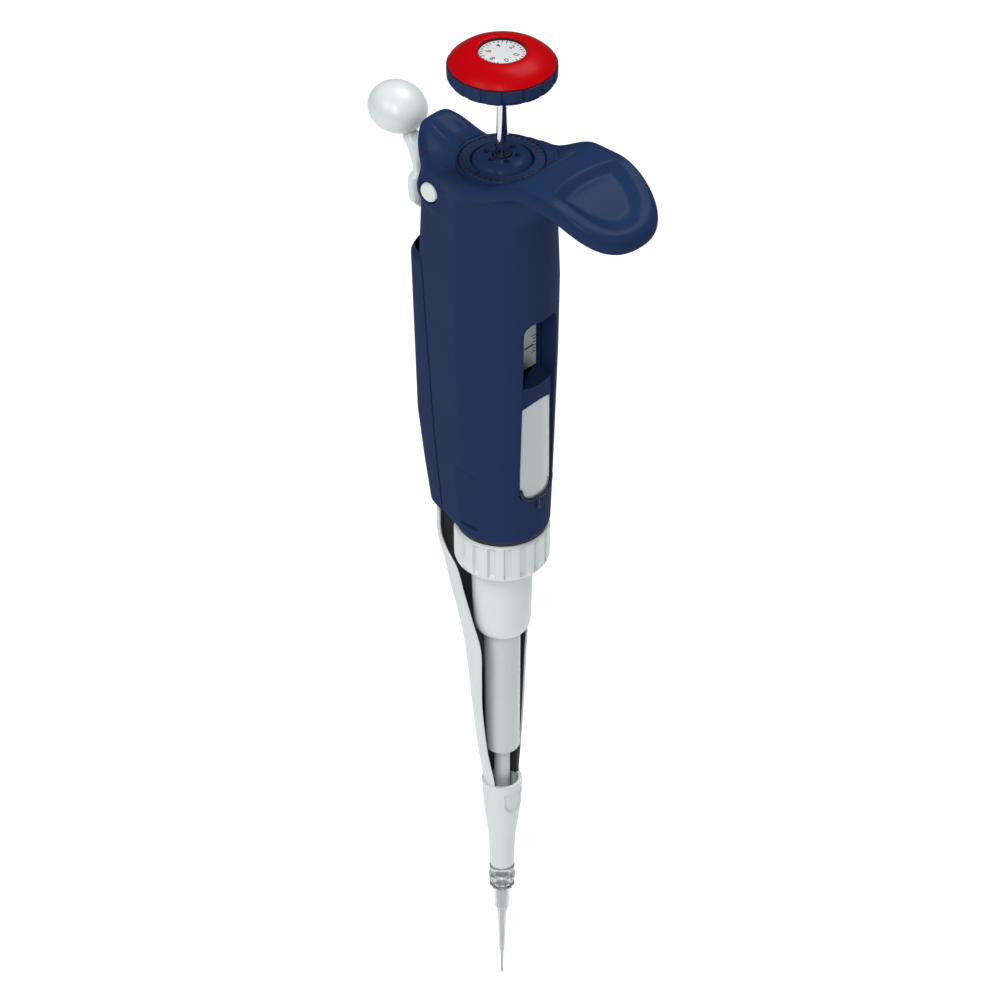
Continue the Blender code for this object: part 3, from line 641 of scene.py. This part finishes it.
made("knob_cup", fluted(rounded([(1.7, 37.2), (11.3, 37.2), (11.3, 39.5), (12.7, 39.5), (12.7, 38.0),
                                 (12.65, 36.6), (12.0, KNOB_BOTTOM), (1.7, KNOB_BOTTOM)], 0.25),
                        KNOB_FLUTES, 0.5, 0.26, 35.0, 39.7, 384), navy, "knob", "knob_ring")
made("knob_dome", turned(rounded(
    [(5.6, 42.95), (5.9, 43.1), (6.9, 43.0), (8.2, 42.65), (9.5, 42.1), (10.7, 41.35), (11.6, 40.6),
     (12.2, 40.0), (12.35, KNOB_SEAM + 0.05), (11.0, KNOB_SEAM), (11.0, 37.5), (10.0, 37.5), (10.0, 40.2),
     (7.0, 41.3), (5.6, 41.3)], 0.5, 4), 128), red, "knob", "knob_cap")
made("knob_shadow_line", turned([(11.2, 39.78), (12.3, 39.78), (12.3, 39.52), (11.2, 39.52)]), shadow,
     "knob")
made("knob_hole_shade", turned([(5.5, 42.75), (5.63, 42.75), (5.63, 41.6), (5.5, 41.6)]), shadow, "knob")
disc_white = surface("disc_white", (0.56, 0.58, 0.59), (0.60, 0.62, 0.63), 0.32, 2000.0, 0.02)
made("knob_disc_face", turned(rounded([(0, 42.2), (5.45, 42.2), (5.45, 41.5), (1.7, 41.5), (1.7, 40.6),
                                       (0, 40.6)], 0.15)), disc_white, "knob", "knob_disc")
made("knob_disc_ticks", tick_marks(30, 5.1, 0.6, 1.0, 5, 0.2, 42.2), print_black, "knob")
for number in range(DISC_FIGURES):
    angle = math.tau * (number + 0.5) / DISC_FIGURES
    lettering(f"knob_figure_{number}", str((number * 2) % 10), 2.0,
              (3.2 * math.cos(angle), 3.2 * math.sin(angle), 42.22),
              Matrix.Rotation(angle - math.pi / 2, 4, "Z"), print_black, "knob", 0.02)

# ---- plunger rod: one turned and polished steel rod, pressed into the knob above and running down
# through the dial's bush to the thrust button. Its bare part tapers out towards the dial.
made("plunger_rod_polished", turned(
    [(0, 40.3), (1.2, 40.3), (1.2, 35.0), (1.22, 30.0), (1.28, 24.0), (1.4, 19.0), (1.52, 16.0),
     (1.52, 15.0), (1.3, 8.0), (1.3, -77.0), (0, -77.0)], 48), steel, "knob", "plunger_rod")

# ---- release button: a domed cap in white plastic that slides in the handle's boss. The well behind
# it is shown as a thin ring of painted shade.
made("release_cap", moved(turned(rounded([(0, 0.15), (1.5, 0.08), (2.2, -0.15), (2.45, -0.6), (2.45, -2.2),
                                          (0, -2.2)], 0.2)),
                          Matrix.Translation((BUTTON_X, -10.75, BUTTON_Z))
                          @ Matrix.Rotation(math.pi / 2, 4, "X")), white, "release", "release_button")
# Painted shade: a dark ring stands for the shaded well round the cap.
made("release_well_shade", moved(turned([(2.52, -1.4), (2.9, -1.4), (2.9, -1.8), (2.52, -1.8)]),
                           Matrix.Translation((BUTTON_X, -10.3, BUTTON_Z))
                           @ Matrix.Rotation(math.pi / 2, 4, "X")), shadow, "handle")

# ---- coupling nut and shafts: white and grey-white plastic, round about the plunger's axis. The
# ribbed nut screws the shaft to the handle, the wide sleeve under it holds the long tube, and the
# tube carries the nose cone.
grey_white = surface("grey_white_plastic", (0.50, 0.54, 0.54), (0.55, 0.58, 0.58), 0.26, 1500.0, 0.03)
made("nut_ribbed", fluted(rounded(
    [(9.2, -88.0), (10.7, -88.0), (11.25, -88.4), (11.45, -89.0), (11.45, -91.0), (11.45, -94.0),
     (11.4, -96.4), (11.1, -97.4), (10.3, -98.3), (9.6, -98.7), (7.55, -98.7), (7.55, -96.2),
     (9.2, -95.8)], 0.3), 18, 0.95, 0.46, -97.0, -88.6, 576), white, "nut", "coupling_nut")
# Painted shade: a dark ring fills the gap between the handle's foot and the nut, where shade falls.
made("nut_gap_shade", turned([(8.9, -86.6), (10.9, -86.6), (10.6, -87.9), (8.9, -87.9)]), shadow, "handle")
made("shaft_upper_moulding", turned(rounded(
    [(5.6, -81.0), (7.5, -81.0), (7.5, -92.4), (8.7, -92.4), (8.7, -95.4), (7.4, -95.4), (7.4, -100.0),
     (7.15, -108.0), (6.95, -115.0), (6.75, -117.0), (6.2, -118.4), (5.2, -119.2), (4.5, -119.3),
     (4.5, -116.9), (5.6, -116.9)], 0.4, 4)), white, "handle", "shaft_upper")
made("shaft_lower_moulding", turned(rounded(
    [(3.0, -117.0), (3.7, -117.0), (3.7, -119.3), (4.45, -119.3), (4.4, -121.0), (4.25, -154.2),
     (4.0, -154.8), (3.4, -155.1), (2.3, -155.1), (2.3, -152.0), (3.0, -152.0)], 0.3)), grey_white,
     "handle", "shaft_lower")
made("nose_cone_moulding", turned(rounded(
    [(1.2, -149.0), (1.9, -149.0), (1.95, -186.0), (1.65, -197.4), (1.2, -197.4)], 0.1)), grey_white,
     "handle", "nose_cone")

# ---- ejector collar: a thin white tube round the nose cone, one moulding with the arm. It has a
# raised rim and a U-shaped pocket on the window's side.
POCKET_TOP, POCKET_BEND = -167.4, -170.3


def along_profile(profile, low, high, rows):
    """The outer radius of a profile at evenly spaced heights, the top one first."""
    outer = sorted(((h, r) for r, h in profile if low <= h <= high), reverse=True)
    for row in range(rows + 1):
        height = high + (low - high) * row / rows
        for (h0, r0), (h1, r1) in zip(outer, outer[1:]):
            if h1 <= height <= h0:
                t = (h0 - height) / max(h0 - h1, 1e-9)
                yield r0 + (r1 - r0) * t, height
                break


COLLAR_OUTSIDE = [(4.9, -164.8), (5.0, -165.3), (4.85, -166.0), (4.72, -168.0), (4.6, -170.0),
                  (4.5, -172.5), (4.3, -174.5), (4.1, -176.3), (3.85, -178.0), (3.58, -180.0),
                  (3.35, -182.0), (3.2, -184.0), (3.1, -186.0), (3.0, -189.0), (2.9, -191.4)]
COLLAR_ROWS = (list(along_profile(COLLAR_OUTSIDE, -191.4, -164.8, 90))
               + [(2.6, -191.4), (2.45, -191.1), (2.5, -181.0), (3.5, -174.0), (3.9, -166.0),
                  (4.0, -164.9), (4.4, -164.7)])


def collar_place(turn, share):
    radius, height = COLLAR_ROWS[round(share * len(COLLAR_ROWS)) % len(COLLAR_ROWS)]
    angle = math.tau * turn
    side = math.atan2(math.sin(angle), math.cos(angle)) * 4.6
    drop = max(0.0, POCKET_BEND - height)
    margin = min(3.0 - math.hypot(side, drop), (POCKET_TOP - height) * 1.2)
    if radius > 4.05 and height < -165.5:
        radius -= 0.5 * ease(-0.15, 0.3, margin)
        radius += 0.12 * (1 - ease(0.0, 0.35, abs(margin + 0.35))) * (height < POCKET_TOP - 0.1)
    return Vector((radius * math.cos(angle), radius * math.sin(angle), height))


made("collar_moulding", wrapped(256, len(COLLAR_ROWS), collar_place), white, "ejector",
     "ejector_collar")

# ---- ejector arm: a white moulded channel, open towards the shaft; its inside is painted dark grey
# as shade. It starts behind the rear cover, where the rod clips into it, and closes round the shaft to
# end in the collar.
ARM_WALL = 1.0
ARM = (                           # height, middle x, depth, half width, half angle of the channel
    (-63.8, -11.2, 7.3, 7.3, 26), (-86.0, -11.2, 7.3, 7.3, 34), (-90.0, -11.2, 7.3, 7.3, 50),
    (-94.5, -10.7, 7.6, 7.8, 60), (-98.0, -10.2, 7.2, 7.8, 80), (-101.5, -9.0, 6.9, 7.8, 98),
    (-107.5, -6.5, 6.9, 8.5, 103), (-114.0, -3.7, 7.1, 8.9, 104), (-121.5, -1.0, 8.3, 8.8, 102),
    (-131.0, -0.3, 7.5, 8.4, 98), (-140.0, 0.1, 6.8, 8.0, 94), (-153.6, 0.9, 6.7, 6.6, 90),
    (-163.0, 1.5, 6.7, 4.9, 90),
    (-165.2, 1.55, 6.4, 4.75, 90),
)
# Painted shade: the arm's white inside is coloured dark grey to stand for the shade in the channel.
arm_inside_shade = surface("arm_inside_painted_shade", (0.035, 0.037, 0.04), (0.05, 0.052, 0.055), 0.45)


def between_rows(rows, key):
    """A smooth curve through the rows of a table, at a value of its first column."""
    for i, (low, high) in enumerate(zip(rows, rows[1:])):
        if low[0] >= key >= high[0]:
            t = (key - low[0]) / (high[0] - low[0])
            before, after = rows[max(i - 1, 0)], rows[min(i + 2, len(rows) - 1)]
            values = []
            for a, b, c, d in zip(before[1:], low[1:], high[1:], after[1:]):
                slope_b = (c - a) * (high[0] - low[0]) / ((high[0] - before[0]) or 1)
                slope_c = (d - b) * (high[0] - low[0]) / ((after[0] - low[0]) or 1)
                values.append(b * (2 * t ** 3 - 3 * t ** 2 + 1) + slope_b * (t ** 3 - 2 * t ** 2 + t)
                              + c * (3 * t ** 2 - 2 * t ** 3) + slope_c * (t ** 3 - t ** 2))
            return values
    return rows[-1][1:]


def arm_place(turn, share):
    height = ARM[0][0] + (ARM[-1][0] - ARM[0][0]) * share
    centre, depth, width, spread = between_rows(ARM, height)
    spread = math.radians(spread)
    lap = 4 * turn                               # 0 to 2 along the outside, 2 to 4 back inside
    side, wall = (lap - 1, 0.0) if lap < 2 else (3 - lap, ARM_WALL)
    edge = ease(0.93, 1.0, abs(side))            # the free edges are rounded
    wall += (0.5 - wall) * edge ** 3
    angle = math.pi + spread * side
    return Vector((centre + (depth - wall) * math.cos(angle), (width - wall) * math.sin(angle), height))


arm_bm = wrapped(160, 200, arm_place)
bmesh.ops.holes_fill(arm_bm, edges=[e for e in arm_bm.edges if e.is_boundary])
arm = made("arm_channel", arm_bm, white, "ejector", "ejector_arm")
arm.data.materials.append(arm_inside_shade)
# The faces inside the channel take the painted shade.
for face in arm.data.polygons:
    height = face.center.z / MM
    centre, depth, width, _ = between_rows(ARM, max(ARM[-1][0], min(ARM[0][0], height)))
    reach = math.hypot((face.center.x / MM - centre) / depth, face.center.y / MM / width)
    face.material_index = int(reach < 1 - 0.75 / depth)

# ---- pipette tip: clear polypropylene, moulded with a ribbed head, a shoulder and a long taper. It
# is a push fit on the nose cone, and the collar pushes it off.
tip_clear = surface("clear_plastic", (0.58, 0.62, 0.62), (0.64, 0.68, 0.68), 0.05, 1500.0, 0.01,
                    Transmission_Weight=0.9, IOR=1.5)
TIP = rounded([(2.3, -191.7), (3.0, -191.7), (3.15, -192.2), (3.0, -193.2), (2.75, -193.6),
               (2.75, -194.2), (3.2, -194.6), (3.25, -195.4), (3.1, -196.2), (2.75, -196.5),
               (2.75, -197.0), (3.0, -197.3), (3.0, -197.8), (2.6, -198.3), (2.0, -198.8),
               (1.93, -204.4), (1.75, -205.0), (1.2, -205.8), (0.68, -219.0), (0.42, -219.6),
               (0.3, -226.3), (0.14, -226.3), (0.3, -219.3), (0.75, -206.4), (1.4, -204.6),
               (1.5, -198.4), (2.0, -197.9)], 0.12, 2)
made("tip_moulding", turned(TIP, 64), tip_clear, "tip", "pipette_tip")
made("tip_ribs", joined(*[
    moved(block((2.65, -0.2, -198.2), (3.1, 0.2, -196.6), 0.1), Matrix.Rotation(math.tau * i / 12, 4, "Z"))
    for i in range(12)]), tip_clear, "tip")

# ---- tip ejector: an egg-shaped thumb button on a necked slider, and the flat rod it pushes. All are
# white plastic, and the rod runs down between the handle and the rear cover.
EGG_CENTRE = Vector((-32.9, 0, 13.6))
egg = bmesh.new()
bmesh.ops.create_uvsphere(egg, u_segments=64, v_segments=40, radius=1.0)
bmesh.ops.scale(egg, vec=(7.2, 6.9, 5.6), verts=egg.verts)
for vert in egg.verts:                       # a little fuller on the outside, like an egg
    vert.co.z *= 1.0 + 0.05 * (-vert.co.x / 7.2)
bmesh.ops.rotate(egg, verts=egg.verts, cent=(0, 0, 0), matrix=Matrix.Rotation(0.25, 3, "Y"))
bmesh.ops.translate(egg, verts=egg.verts, vec=EGG_CENTRE)
made("ejector_thumb_button", egg, white, "ejector", "ejector_button")


def swept_bar(stations, around, along, power):
    """A bar with a squarish oval section, swept through (z, x, half depth, half width) stations."""
    def place(turn, share):
        height = stations[0][0] + (stations[-1][0] - stations[0][0]) * share
        x, depth, width = between_rows(stations, height)
        swing, reach = math.cos(math.tau * turn), math.sin(math.tau * turn)
        out = math.copysign(abs(swing) ** (2 / power), swing) * depth
        side = math.copysign(abs(reach) ** (2 / power), reach) * width
        cap = min(1.0, 0.25 + 6 * min(share, 1 - share))
        return Vector((x + out * math.sqrt(cap), side * math.sqrt(cap), height))
    bm = wrapped(around, along, place)
    bmesh.ops.holes_fill(bm, edges=[e for e in bm.edges if e.is_boundary])
    return bm


made("ejector_slider_neck", swept_bar(
    [(9.4, -29.6, 2.2, 2.4), (7.4, -28.3, 2.0, 2.2), (5.4, -26.9, 1.8, 2.2), (3.4, -25.8, 1.4, 2.6),
     (1.6, -25.5, 1.2, 2.5), (0.2, -25.4, 1.2, 2.6), (-1.2, -25.4, 1.6, 3.9), (-6.4, -25.2, 1.5, 3.9),
     (-9.6, -24.9, 1.0, 3.0)],
    48, 80, 2.8), white, "ejector", "ejector_slider")
made("ejector_rod_strip", swept_bar(
    [(-8.9, -23.4, 0.6, 2.2), (-15.0, -23.3, 0.6, 2.2), (-22.0, -23.1, 0.6, 2.2),
     (-40.0, -20.7, 0.6, 2.2), (-63.6, -18.0, 0.6, 2.2)], 32, 60, 5.0), white, "ejector", "ejector_rod")

# ---- pieces inside, mostly out of sight: the counter, the screw, the springs, the seals and the
# piston. Each keeps its own shape and gets its real finish.
INSIDE = {
    "aluminium": surface("machined_aluminium", (0.60, 0.61, 0.62), (0.68, 0.69, 0.70), 0.28, 2500.0,
                         0.04, 1.0),
    "brass": surface("turned_brass", (0.58, 0.42, 0.16), (0.66, 0.49, 0.20), 0.26, 2500.0, 0.04, 1.0),
    "spring": surface("spring_wire", (0.40, 0.40, 0.41), (0.50, 0.50, 0.51), 0.30, 2500.0, 0.03, 1.0),
    "rubber": surface("seal_rubber", (0.016, 0.016, 0.017), (0.024, 0.024, 0.025), 0.65, 2500.0, 0.1),
    "drum": surface("drum_white", (0.70, 0.71, 0.71), (0.76, 0.77, 0.77), 0.45, 2000.0, 0.03),
    "steel": steel,
    "white": white,
}
INSIDE_NODES = {
    "aluminium": ("counter_top", "counter_base", "chassis_plate", "threaded_sleeve"),
    "brass": ("volume_screw", "volume_stop_nut"),
    "spring": ("primary_spring", "blowout_spring", "ejector_spring"),
    "rubber": ("o_ring",),
    "drum": ("counter_drum_high", "counter_drum_middle", "counter_drum_low"),
    "steel": ("blowout_washer", "thrust_button", "piston", "spring_seat", "seal_retainer"),
    "white": ("piston_head", "piston_seal", "seal_seat"),
}
for finish, names in INSIDE_NODES.items():
    for name in names:
        node = bpy.data.objects[name]
        node.data.materials.clear()
        node.data.materials.append(INSIDE[finish])


# ---- the stage: a pale floor well below, white surroundings, three soft lamps and the camera. The
# tall narrow lamp gives the upright highlight down the round parts.
floor_bm = bmesh.new()
bmesh.ops.create_grid(floor_bm, x_segments=1, y_segments=1, size=3000)
bmesh.ops.translate(floor_bm, verts=floor_bm.verts, vec=(0, 0, -400))
floor = made("floor", floor_bm, surface("floor_paper", (0.60, 0.60, 0.60), (0.62, 0.62, 0.62), 0.9,
                                        Emission_Color=(1.0, 1.0, 1.0, 1.0), Emission_Strength=0.72), None)

world = bpy.data.worlds.new("studio")
world.use_nodes = True
world.node_tree.nodes["Background"].inputs["Color"].default_value = (1.0, 1.0, 1.0, 1.0)
world.node_tree.nodes["Background"].inputs["Strength"].default_value = 0.12
bpy.context.scene.world = world
bpy.context.scene.view_settings.view_transform = "Standard"

AZIMUTH, ELEVATION, DISTANCE = math.radians(43), math.radians(35.8), 1.6
TARGET = Vector((0, 0, -0.082))
LENS = 244.1
LAMP_AIM = Vector((0, 0, -0.08))
back = Vector((math.sin(AZIMUTH) * math.cos(ELEVATION), -math.cos(AZIMUTH) * math.cos(ELEVATION),
               math.sin(ELEVATION)))
right = Vector((math.cos(AZIMUTH), math.sin(AZIMUTH), 0))


def softbox(name, place, size, power):
    """A flat lamp that faces the middle of the pipette."""
    light = bpy.data.lights.new(name, "AREA")
    light.shape = "RECTANGLE"
    light.size, light.size_y = size
    light.energy = power
    lamp = bpy.data.objects.new(name, light)
    bpy.context.scene.collection.objects.link(lamp)
    lamp.location = place
    lamp.rotation_euler = (Vector(place) - LAMP_AIM).to_track_quat("Z", "Y").to_euler()


upward = back.cross(right)
softbox("key", TARGET + back * 0.95 - right * 0.7 + upward * 0.5, (0.45, 0.45), 5.0)
softbox("band", TARGET + back * 1.3 - right * 0.12 + upward * 0.25, (0.16, 0.8), 9.0)
softbox("top", (0.0, 0.55, 1.0), (0.6, 0.6), 9.0)

camera_data = bpy.data.cameras.new("camera")
camera_data.sensor_width = 36.0
camera_data.lens = LENS
camera = bpy.data.objects.new("camera", camera_data)
bpy.context.scene.collection.objects.link(camera)
camera.location = TARGET + back * DISTANCE - right * 0.0005
camera.rotation_euler = back.to_track_quat("Z", "Y").to_euler()
bpy.context.scene.camera = camera

# The cuts are made final, and the shapes that made them are taken away.
bpy.context.view_layer.update()
for piece in {piece.name: piece for piece, _ in tools}.values():
    finished = bpy.data.meshes.new_from_object(piece.evaluated_get(
        bpy.context.evaluated_depsgraph_get()))
    piece.modifiers.clear()
    piece.data = finished
    finished.shade_smooth()
    finished.set_sharp_from_angle(angle=SHARP)
for _, tool in tools:
    bpy.data.objects.remove(tool)
